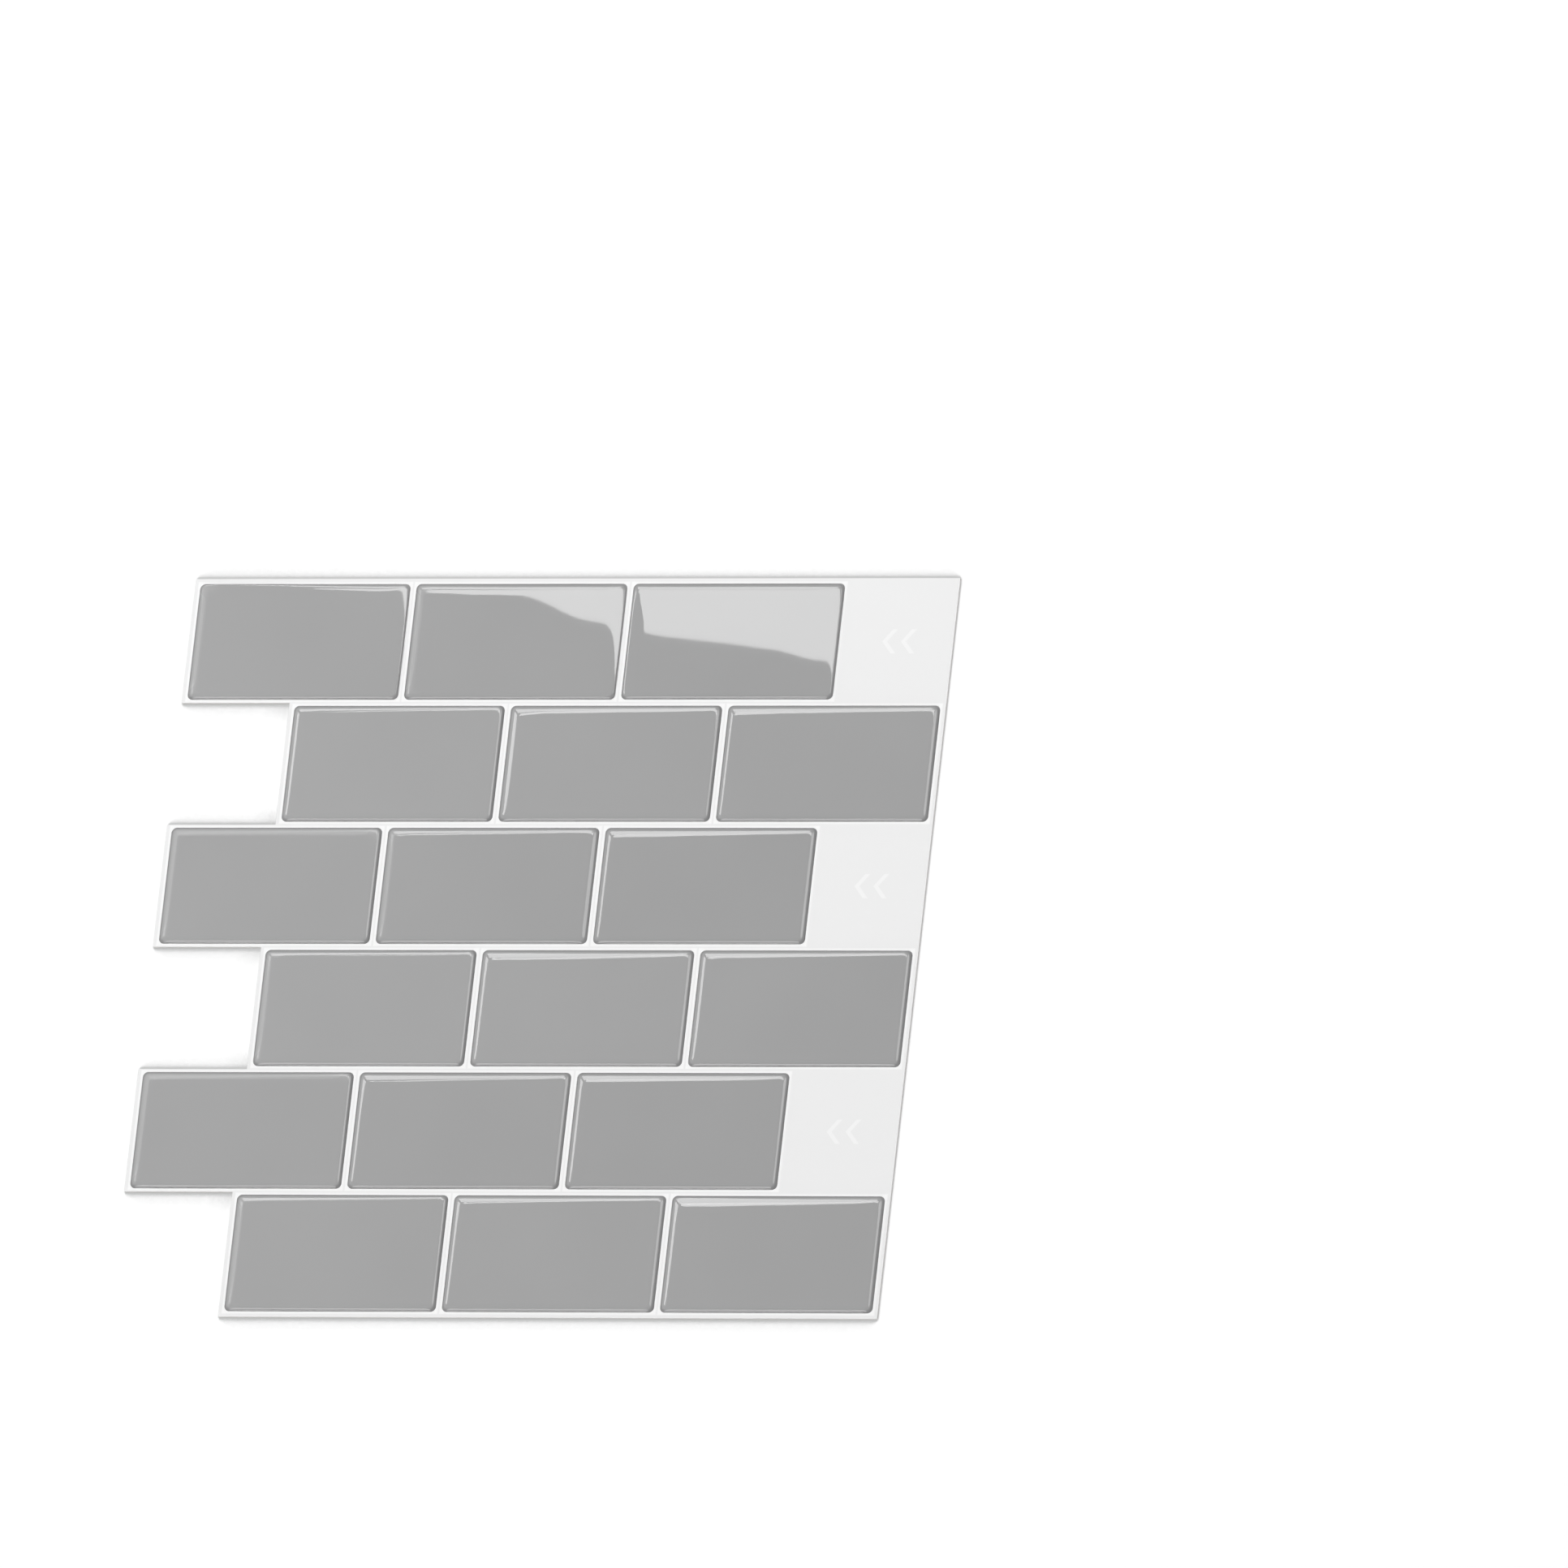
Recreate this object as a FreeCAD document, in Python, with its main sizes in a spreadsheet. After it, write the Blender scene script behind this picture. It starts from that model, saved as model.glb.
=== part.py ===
# Peel-and-stick wall tile sheet: a white film cut in brick bond, with eighteen grey gel tiles cast on its
# face and a pressure-sensitive adhesive behind it, covered by a paper release liner.
# X runs along the rows, Y up the sheet towards row 1, Z from the liner to the gel.
import FreeCAD, Part
import math
import os

import Sketcher

V = FreeCAD.Vector

ROWS = 6
COLUMNS = 3

# Driving sizes in millimetres, one spreadsheet cell each.
SIZES = {
    "tile_length": 84.2,
    "tile_width": 46.2,
    "grout_gap": 2.4,
    "edge_margin": 2.1,
    "gel_height": 1.1,
    "edge_run": 1.95,
    "plateau_corner_radius": 0.15,
    "film_thickness": 0.55,
    "adhesive_thickness": 0.15,
    "liner_thickness": 0.2,
}

# Worked-out lengths, as expressions on those cells.
PITCH_X = "(sizes.tile_length + sizes.grout_gap)"
PITCH_Y = "(sizes.tile_width + sizes.grout_gap)"
HALF_BRICK = f"({PITCH_X} / 2)"
SHEET_LENGTH = f"({COLUMNS} * {PITCH_X} + {HALF_BRICK} - sizes.grout_gap + 2 * sizes.edge_margin)"
SHEET_WIDTH = f"({ROWS} * {PITCH_Y} - sizes.grout_gap + 2 * sizes.edge_margin)"
# The next sheet's film reaches this far over each bare tab when its tiles keep the grout gap.
TAB_LENGTH = f"({HALF_BRICK} - sizes.grout_gap + 2 * sizes.edge_margin)"
FIELD_LENGTH = f"({SHEET_LENGTH} - {TAB_LENGTH})"
CORNER_RADIUS = "(sizes.edge_run + sizes.plateau_corner_radius)"


def is_shifted(row):
    """Every second row starts half a brick further right, so the film is notched at its left end."""
    return row % 2 == 0


def row_bottom(row):
    """Lower edge of a row's strip of film: a grout centre line, or the sheet's own edge below the last row."""
    if row == ROWS:
        return "0"
    return f"(sizes.edge_margin + {ROWS - row} * {PITCH_Y} - sizes.grout_gap / 2)"


def row_top(row):
    return SHEET_WIDTH if row == 1 else row_bottom(row - 1)


def plane(body, role):
    return next(feature for feature in body.Origin.OriginFeatures if feature.Role == role)


def new_sketch(body, name, role="XY_Plane"):
    sketch = body.newObject("Sketcher::SketchObject", name)
    sketch.AttachmentSupport = [(plane(body, role), "")]
    sketch.MapMode = "FlatFace"
    return sketch


def dimension(sketch, name, expression, constraint):
    sketch.renameConstraint(sketch.addConstraint(constraint), name)
    sketch.setExpression(f"Constraints.{name}", expression)


def rectangle(body, name, corner, length, width):
    """A rectangle whose lower left corner lies at the given place on the sheet."""
    sketch = new_sketch(body, name)
    for axis, place in zip("xyz", corner):
        sketch.setExpression(f"AttachmentOffset.Base.{axis}", place)
    x, y = 40.0, 20.0  # a first guess, the constraints set the size
    points = [V(0, 0, 0), V(x, 0, 0), V(x, y, 0), V(0, y, 0)]
    lines = [sketch.addGeometry(Part.LineSegment(points[k], points[(k + 1) % 4])) for k in range(4)]
    for k in range(4):
        sketch.addConstraint(Sketcher.Constraint("Coincident", lines[k], 2, lines[(k + 1) % 4], 1))
        sketch.addConstraint(Sketcher.Constraint("Vertical" if k % 2 else "Horizontal", lines[k]))
    sketch.addConstraint(Sketcher.Constraint("Coincident", lines[0], 1, -1, 1))
    dimension(sketch, "length", length, Sketcher.Constraint("DistanceX", lines[0], 1, lines[0], 2, x))
    dimension(sketch, "width", width, Sketcher.Constraint("DistanceY", lines[1], 1, lines[1], 2, y))
    return sketch


def rounded_rectangle(body, name, length, width, radius):
    """A rectangle with round corners, centred on the body's origin."""
    sketch = new_sketch(body, name)
    x, y, r = 40.0, 20.0, 3.0  # a first guess, the constraints set the size
    centres = [V(x - r, r - y, 0), V(x - r, y - r, 0), V(r - x, y - r, 0), V(r - x, r - y, 0)]
    arcs = []
    for k, centre in enumerate(centres):
        start = math.radians(90 * (k - 1))
        circle = Part.Circle(centre, V(0, 0, 1), r)
        arcs.append(sketch.addGeometry(Part.ArcOfCircle(circle, start, start + math.pi / 2)))
    lines = []
    for k in range(4):
        ends = sketch.Geometry[arcs[k]].EndPoint, sketch.Geometry[arcs[(k + 1) % 4]].StartPoint
        lines.append(sketch.addGeometry(Part.LineSegment(*ends)))
    for k in range(4):
        sketch.addConstraint(Sketcher.Constraint("Tangent", arcs[k], 2, lines[k], 1))
        sketch.addConstraint(Sketcher.Constraint("Tangent", lines[k], 2, arcs[(k + 1) % 4], 1))
        sketch.addConstraint(Sketcher.Constraint("Horizontal" if k % 2 else "Vertical", lines[k]))
    for arc in arcs[1:]:
        sketch.addConstraint(Sketcher.Constraint("Equal", arcs[0], arc))
    sketch.addConstraint(Sketcher.Constraint("Symmetric", lines[0], 1, lines[2], 1, -1, 1))
    dimension(sketch, "corner", radius, Sketcher.Constraint("Radius", arcs[0], r))
    dimension(sketch, "width", width, Sketcher.Constraint("DistanceY", lines[3], 1, lines[1], 1, 2 * y))
    dimension(sketch, "length", length, Sketcher.Constraint("DistanceX", lines[2], 1, lines[0], 1, 2 * x))
    return sketch


def edge_offcut(body, name):
    """What the gel's round edge leaves out: outside an arc that rises from the foot, level at the plateau."""
    sketch = new_sketch(body, name, "YZ_Plane")
    edge, run, height, over = 23.0, 1.5, 1.2, 1.2  # a first guess, the constraints set the size
    radius = (run**2 + height**2) / (2 * height)
    centre = V(edge - run, height - radius, 0)
    circle = Part.Circle(centre, V(0, 0, 1), radius)
    start = math.atan2(-centre.y, run)
    arc = sketch.addGeometry(Part.ArcOfCircle(circle, start, math.pi / 2))
    points = [
        V(edge, 0, 0),
        V(edge + over, 0, 0),
        V(edge + over, height + over, 0),
        V(edge - run, height + over, 0),
        V(edge - run, height, 0),
    ]
    lines = [sketch.addGeometry(Part.LineSegment(a, b)) for a, b in zip(points, points[1:])]
    for k, line in enumerate(lines):
        sketch.addConstraint(Sketcher.Constraint("Vertical" if k % 2 else "Horizontal", line))
    for a, b in zip(lines, lines[1:]):
        sketch.addConstraint(Sketcher.Constraint("Coincident", a, 2, b, 1))
    sketch.addConstraint(Sketcher.Constraint("Coincident", arc, 1, lines[0], 1))
    sketch.addConstraint(Sketcher.Constraint("Perpendicular", lines[3], 2, arc, 2))
    sketch.addConstraint(Sketcher.Constraint("Equal", lines[0], lines[3]))
    sketch.addConstraint(Sketcher.Constraint("PointOnObject", arc, 1, -1))
    dimension(sketch, "edge", "sizes.tile_width / 2", Sketcher.Constraint("DistanceX", -1, 1, arc, 1, edge))
    dimension(sketch, "height", "sizes.gel_height", Sketcher.Constraint("DistanceY", -1, 1, arc, 2, height))
    dimension(sketch, "run", "sizes.edge_run", Sketcher.Constraint("DistanceX", arc, 2, arc, 1, run))
    dimension(sketch, "over", "sizes.gel_height", Sketcher.Constraint("DistanceX", lines[0], 1, lines[0], 2, over))
    return sketch


def add_pad(body, name, sketch, height):
    pad = body.newObject("PartDesign::Pad", name)
    pad.Profile = sketch
    pad.setExpression("Length", height)
    pad.Refine = False  # keeps each piece of the film's face a face of its own
    return pad


def cut_notches(body, thickness):
    """Each shifted row's film is cut back by half a brick, where the next sheet's bare tab shows through."""
    for row in filter(is_shifted, range(1, ROWS + 1)):
        corner = ("0", row_bottom(row), thickness)
        height = f"{row_top(row)} - {row_bottom(row)}"
        sketch = rectangle(body, f"notch_outline_row_{row}", corner, HALF_BRICK, height)
        notch = body.newObject("PartDesign::Pocket", f"notch_row_{row}")
        notch.Profile = sketch
        notch.Type = "ThroughAll"
        notch.Refine = False


def new_layer(doc, label, below, thickness, length):
    """A flat layer of the sheet with its notches, centred on the sheet, over the layers that lie below."""
    body = doc.addObject("PartDesign::Body", label)
    body.setExpression("Placement.Base.x", f"-{SHEET_LENGTH} / 2")
    body.setExpression("Placement.Base.y", f"-{SHEET_WIDTH} / 2")
    body.setExpression("Placement.Base.z", below)
    outline = rectangle(body, "outline", ("0", "0", "0"), length, SHEET_WIDTH)
    add_pad(body, "web", outline, thickness)
    cut_notches(body, thickness)
    return body


def make_film(doc, below):
    """The film's field under the first tiles, then each row's right end: a bare tab or half a brick."""
    body = new_layer(doc, "face_film", below, "sizes.film_thickness", FIELD_LENGTH)
    for row in range(1, ROWS + 1):
        name = f"half_brick_row_{row}" if is_shifted(row) else f"overlap_tab_row_{row}"
        corner = (FIELD_LENGTH, row_bottom(row), "0")
        height = f"{row_top(row)} - {row_bottom(row)}"
        outline = rectangle(body, f"{name}_outline", corner, TAB_LENGTH, height)
        add_pad(body, name, outline, "sizes.film_thickness")
    return body


def make_gel_tile(doc, label):
    """A cast slab with its edge rounded off all the way round."""
    body = doc.addObject("PartDesign::Body", label)
    outline = rounded_rectangle(body, "outline", "sizes.tile_length", "sizes.tile_width", CORNER_RADIUS)
    add_pad(body, "slab", outline, "sizes.gel_height")
    offcut = edge_offcut(body, "edge_offcut")
    doc.recompute()
    sweep = body.newObject("PartDesign::SubtractivePipe", "round_edge")
    sweep.Profile = offcut
    sweep.Spine = (outline, [f"Edge{k}" for k in range(1, len(outline.Shape.Edges) + 1)])
    return body


def copy_body(doc, label, original):
    body = doc.addObject("PartDesign::Body", label)
    copied = body.newObject("PartDesign::FeatureBase", "cast_tile")
    copied.BaseFeature = original
    body.Tip = copied
    return body


def lay_gel_tiles(doc, below):
    tiles = []
    for row in range(1, ROWS + 1):
        for column in range(1, COLUMNS + 1):
            label = f"gel_tile_row_{row}_column_{column}"
            tile = copy_body(doc, label, tiles[0]) if tiles else make_gel_tile(doc, label)
            bricks = column - 1 + (0.5 if is_shifted(row) else 0)
            left = f"sizes.edge_margin + {bricks} * {PITCH_X} + sizes.tile_length / 2"
            up = f"sizes.edge_margin + {ROWS - row} * {PITCH_Y} + sizes.tile_width / 2"
            tile.setExpression("Placement.Base.x", f"{left} - {SHEET_LENGTH} / 2")
            tile.setExpression("Placement.Base.y", f"{up} - {SHEET_WIDTH} / 2")
            tile.setExpression("Placement.Base.z", below)
            tiles.append(tile)
    return tiles


def export(doc, bodies):
    for thing in doc.Objects:
        if "Invalid" in thing.State or "Error" in thing.State:
            raise RuntimeError(f"{thing.Label} failed: {thing.State}")
    os.makedirs("parts", exist_ok=True)
    for body in bodies:
        if body.Shape.isNull() or not body.Shape.isValid():
            raise RuntimeError(f"{body.Label} has no valid shape")
        body.Shape.exportStep(f"parts/{body.Label}.step")


def main():
    doc = FreeCAD.newDocument("tile_sheet")
    sheet = doc.addObject("Spreadsheet::Sheet", "sizes")
    for line, (name, value) in enumerate(SIZES.items(), start=1):
        sheet.set(f"A{line}", name)
        sheet.set(f"B{line}", str(value))
        sheet.setAlias(f"B{line}", name)
    doc.recompute()

    adhesive_back = "sizes.liner_thickness"
    film_back = f"{adhesive_back} + sizes.adhesive_thickness"
    film_face = f"{film_back} + sizes.film_thickness"
    bodies = [
        new_layer(doc, "release_liner", "0", "sizes.liner_thickness", SHEET_LENGTH),
        new_layer(doc, "adhesive_layer", adhesive_back, "sizes.adhesive_thickness", SHEET_LENGTH),
        make_film(doc, film_back),
        *lay_gel_tiles(doc, film_face),
    ]
    doc.recompute()
    export(doc, bodies)


main()
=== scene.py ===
"""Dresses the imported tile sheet: cast gel tiles, printed film, adhesive and liner, on a pale floor."""

import math

import bpy
import numpy as np
from mathutils import Matrix, Vector
from mathutils.geometry import tessellate_polygon


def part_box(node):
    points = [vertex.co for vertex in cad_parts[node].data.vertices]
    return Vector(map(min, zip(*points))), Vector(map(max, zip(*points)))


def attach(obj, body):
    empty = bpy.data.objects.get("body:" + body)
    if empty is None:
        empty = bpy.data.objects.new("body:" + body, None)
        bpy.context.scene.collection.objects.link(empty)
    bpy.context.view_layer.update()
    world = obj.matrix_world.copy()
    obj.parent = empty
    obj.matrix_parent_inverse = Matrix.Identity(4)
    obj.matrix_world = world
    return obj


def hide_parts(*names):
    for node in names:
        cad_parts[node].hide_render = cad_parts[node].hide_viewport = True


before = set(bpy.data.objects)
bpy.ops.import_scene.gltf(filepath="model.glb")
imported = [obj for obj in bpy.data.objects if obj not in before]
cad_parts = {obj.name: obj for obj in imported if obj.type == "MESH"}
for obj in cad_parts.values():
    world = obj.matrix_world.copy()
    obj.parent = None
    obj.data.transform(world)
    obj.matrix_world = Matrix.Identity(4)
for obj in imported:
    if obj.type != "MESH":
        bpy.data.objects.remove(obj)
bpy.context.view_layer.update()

bl_info = {
    "name": "Tile sheet dressing",
    "version": (1, 0, 0),
    "blender": (4, 5, 0),
    "location": "3D View > Sidebar > Tile sheet",
    "description": "Casts the gel tiles of a peel-and-stick sheet and finishes its film and backing",
    "category": "Object",
}

MM = 0.001
BODY = "root"
GEL_PREFIX = "gel_tile_"
FILM, ADHESIVE, LINER = "face_film", "adhesive_layer", "release_liner"
GEL_NODES = sorted(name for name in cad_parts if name.startswith(GEL_PREFIX))


def row_and_column(node):
    words = node.split("_")
    return int(words[3]), int(words[5])


ROWS = max(row_and_column(node)[0] for node in GEL_NODES)
COLUMNS = max(row_and_column(node)[1] for node in GEL_NODES)


def gel_box(row, column):
    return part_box(f"{GEL_PREFIX}row_{row}_column_{column}")


# Places that the frame gives, in metres: one tile, the brick pitch and the sheet's outline.
FIRST_LOW, FIRST_HIGH = gel_box(1, 1)
TILE = FIRST_HIGH - FIRST_LOW
PITCH_X = gel_box(1, 2)[0].x - FIRST_LOW.x
PITCH_Y = FIRST_LOW.y - gel_box(2, 1)[0].y
SHIFT = gel_box(2, 1)[0].x - FIRST_LOW.x
JOINT = PITCH_X - TILE.x
FILM_LOW, FILM_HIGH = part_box(FILM)
LAST_ROW_LOW = gel_box(ROWS, 1)[0].y


class Signal:
    """A number that varies over a surface. Arithmetic on it adds Math nodes."""

    def __init__(self, graph, socket):
        self.graph = graph
        self.socket = socket

    def __add__(self, other):
        return self.graph.math("ADD", self, other)

    def __radd__(self, other):
        return self.graph.math("ADD", other, self)

    def __sub__(self, other):
        return self.graph.math("SUBTRACT", self, other)

    def __rsub__(self, other):
        return self.graph.math("SUBTRACT", other, self)

    def __mul__(self, other):
        return self.graph.math("MULTIPLY", self, other)

    def __rmul__(self, other):
        return self.graph.math("MULTIPLY", other, self)

    def __truediv__(self, other):
        return self.graph.math("DIVIDE", self, other)

    def __rtruediv__(self, other):
        return self.graph.math("DIVIDE", other, self)

    def __mod__(self, other):
        return self.graph.math("FLOORED_MODULO", self, other)

    def __rmod__(self, other):
        return self.graph.math("FLOORED_MODULO", other, self)

    def __pow__(self, other):
        return self.graph.math("POWER", self, other)

    def __rpow__(self, other):
        return self.graph.math("POWER", other, self)

    def __abs__(self):
        return self.graph.math("ABSOLUTE", self)

    def floor(self):
        return self.graph.math("FLOOR", self)

    def least(self, other):
        return self.graph.math("MINIMUM", self, other)

    def most(self, other):
        return self.graph.math("MAXIMUM", self, other)

    def ramp(self, start, end):
        """0 up to start, 1 from end, smooth between them."""
        settings = {"interpolation_type": "SMOOTHSTEP"}
        values = {"Value": self, "From Min": start, "From Max": end}
        made = self.graph.node("ShaderNodeMapRange", settings, values)
        return Signal(self.graph, made.outputs["Result"])


class Graph:
    """The node tree of one material or of the world."""

    def __init__(self, owner):
        owner.use_nodes = True
        self.tree = owner.node_tree
        self.tree.nodes.clear()

    def node(self, kind, settings=None, values=None):
        """Any node: its type, its settings, then the values or links of its sockets."""
        made = self.tree.nodes.new(kind)
        for name, setting in (settings or {}).items():
            setattr(made, name, setting)
        for name, value in (values or {}).items():
            socket = made.inputs[name]
            if isinstance(value, Signal):
                self.tree.links.new(value.socket, socket)
            elif isinstance(value, bpy.types.NodeSocket):
                self.tree.links.new(value, socket)
            else:
                socket.default_value = value
        return made

    def math(self, operation, *values):
        made = self.node("ShaderNodeMath", {"operation": operation}, dict(enumerate(values)))
        return Signal(self, made.outputs[0])

    def mix(self, factor, dark, light):
        """A colour between two others."""
        made = self.node("ShaderNodeMix", {"data_type": "RGBA"}, {0: factor, 6: dark, 7: light})
        return made.outputs[2]

    def place(self, kind="Object"):
        """X, Y and Z in the frame, because every piece's object sits at the origin."""
        coordinates = self.node("ShaderNodeTexCoord").outputs[kind]
        split = self.node("ShaderNodeSeparateXYZ", values={"Vector": coordinates})
        return [Signal(self, output) for output in split.outputs]

    def noise(self, size, detail=2.0, roughness=0.5, stretch=(1, 1, 1)):
        """Noise from 0 to 1 whose features are about that large, in metres."""
        coordinates = self.node("ShaderNodeTexCoord").outputs["Object"]
        stretched = self.node("ShaderNodeMapping", values={"Vector": coordinates, "Scale": stretch})
        values = {"Vector": stretched.outputs[0], "Scale": 1 / size}
        values |= {"Detail": detail, "Roughness": roughness}
        return Signal(self, self.node("ShaderNodeTexNoise", values=values).outputs["Fac"])

    def bump(self, height, distance):
        values = {"Height": height, "Distance": distance}
        return self.node("ShaderNodeBump", values=values).outputs["Normal"]

    def attribute(self, name):
        """A number that the mesh carries at its points."""
        return Signal(self, self.node("ShaderNodeAttribute", {"attribute_name": name}).outputs["Fac"])

    def tones(self, factor, colour, spread):
        """A colour that varies between a darker and a lighter tone of itself."""
        return self.mix(factor, *(shade_of(colour, tone) for tone in spread))

    def surface(self, values):
        shader = self.node("ShaderNodeBsdfPrincipled", values=values)
        self.node("ShaderNodeOutputMaterial", values={"Surface": shader.outputs[0]})


def grey(level):
    return (level, level, level, 1.0)


def shade_of(colour, factor):
    """The colour made darker or lighter, with full alpha."""
    return (*(channel * factor for channel in colour[:3]), 1.0)


def passed(value, start, end):
    """How far a number has got from start to end, from 0 to 1."""
    return np.clip((value - start) / (end - start), 0, 1)


def paint(piece, material):
    piece.data.materials.clear()
    piece.data.materials.append(material)


class GelSettings(bpy.types.PropertyGroup):
    """The cast gel tiles."""

    corner: bpy.props.FloatProperty(
        name="Corner radius",
        description="Radius of a tile's outline at its corners",
        default=2.1 * MM,
        unit="LENGTH",
    )
    lower_run: bpy.props.FloatProperty(
        name="Lower edge",
        description="How far in the gel rounds over at a tile's lower side",
        default=2.0 * MM,
        unit="LENGTH",
    )
    slant: bpy.props.FloatProperty(
        name="Slant",
        description="How much narrower the upper edge gets from a tile's middle to its right end",
        default=0.26,
        subtype="FACTOR",
    )
    lobe: bpy.props.FloatProperty(
        name="Lobe",
        description="How much wider the upper edge is where the gel pooled near a tile's left end",
        default=0.16,
        subtype="FACTOR",
    )
    softness: bpy.props.FloatProperty(
        name="Softness",
        description="Over what length the round edge runs out into the top",
        default=0.32 * MM,
        unit="LENGTH",
    )
    shoulder: bpy.props.FloatProperty(
        name="Shoulder",
        description="How slowly the last of the rise levels out",
        default=1.6 * MM,
        unit="LENGTH",
    )
    shoulder_share: bpy.props.FloatProperty(
        name="Shoulder share",
        description="The share of the height that the slow part of the rise takes",
        default=0.006,
        subtype="FACTOR",
    )
    crown: bpy.props.FloatProperty(
        name="Crown",
        description="How much higher the middle of a tile stands than its rim",
        default=0.006 * MM,
        unit="LENGTH",
    )
    ripple: bpy.props.FloatProperty(
        name="Ripple",
        description="Height of the slow waves that cured into the top",
        default=0.003 * MM,
        unit="LENGTH",
    )
    colour: bpy.props.FloatVectorProperty(
        name="Colour",
        description="The grey print under the gel",
        default=(0.343, 0.343, 0.344),
        subtype="COLOR",
    )
    # Painted reflection: the grey under the gel is darkened from left to right across the sheet.
    fade: bpy.props.FloatProperty(
        name="Fade",
        description="How fast the print darkens from left to right across the sheet",
        default=2.6,
    )
    # Painted reflection: every second row's grey is made lighter.
    batch_and_painted_sheen: bpy.props.FloatProperty(
        name="Batch",
        description="How much lighter the print is on every second row",
        default=0.25,
        subtype="FACTOR",
    )
    roughness: bpy.props.FloatProperty(
        name="Roughness",
        description="Roughness of the cured skin",
        default=0.012,
        subtype="FACTOR",
    )
    haze: bpy.props.FloatProperty(
        name="Haze",
        description="How much rougher the skin is along an edge that cured hazy",
        default=0.36,
        subtype="FACTOR",
    )


class FilmSettings(bpy.types.PropertyGroup):
    """The white face film."""

    colour: bpy.props.FloatVectorProperty(
        name="Colour",
        description="The film's white on the bare tabs and in the middle of the joints",
        default=(0.815, 0.815, 0.815),
        subtype="COLOR",
    )
    # The brighter white beside the gel is painted light; the chevrons are printed in it too.
    painted_light_and_mark_colour: bpy.props.FloatVectorProperty(
        name="Joint colour",
        description="The brighter white beside the gel",
        default=(0.92, 0.92, 0.92),
        subtype="COLOR",
    )
    roughness: bpy.props.FloatProperty(
        name="Roughness",
        description="Roughness of the film's matt side",
        default=0.5,
        subtype="FACTOR",
    )
    mark_length: bpy.props.FloatProperty(
        name="Mark length",
        description="Length of the pair of chevrons on each tab",
        default=15 * MM,
        unit="LENGTH",
    )
    mark_stroke: bpy.props.FloatProperty(
        name="Mark stroke",
        description="Width of a chevron's stroke",
        default=1.5 * MM,
        unit="LENGTH",
    )


class BackingSettings(bpy.types.PropertyGroup):
    """The adhesive and its release liner."""

    adhesive_colour: bpy.props.FloatVectorProperty(
        name="Adhesive colour",
        description="The clear adhesive at the cut edge",
        default=(0.74, 0.73, 0.68),
        subtype="COLOR",
    )
    liner_colour: bpy.props.FloatVectorProperty(
        name="Liner colour",
        description="The release paper",
        default=(0.82, 0.80, 0.75),
        subtype="COLOR",
    )


class StageSettings(bpy.types.PropertyGroup):
    """Camera, floor and lights."""

    frame_side: bpy.props.IntProperty(
        name="Frame side",
        description="Side of the photograph's square frame",
        default=1932,
        subtype="PIXEL",
    )
    centre: bpy.props.IntVectorProperty(
        name="Sheet centre",
        description="Where the sheet's centre lies in the frame, from its top left corner",
        default=(659, 1167),
        size=2,
    )
    scale: bpy.props.FloatProperty(
        name="Scale",
        description="Pixels for each millimetre along a row",
        default=3.1,
    )
    lean: bpy.props.FloatProperty(
        name="Lean",
        description="How far an upright edge moves sideways for each pixel that it rises",
        default=0.1137,
    )
    distance: bpy.props.FloatProperty(
        name="Distance",
        description="How far away the camera stands",
        default=19.6,
        unit="LENGTH",
    )
    ambient: bpy.props.FloatProperty(
        name="Ambient",
        description="Strength of the even light from all round",
        default=0.26,
    )


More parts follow.
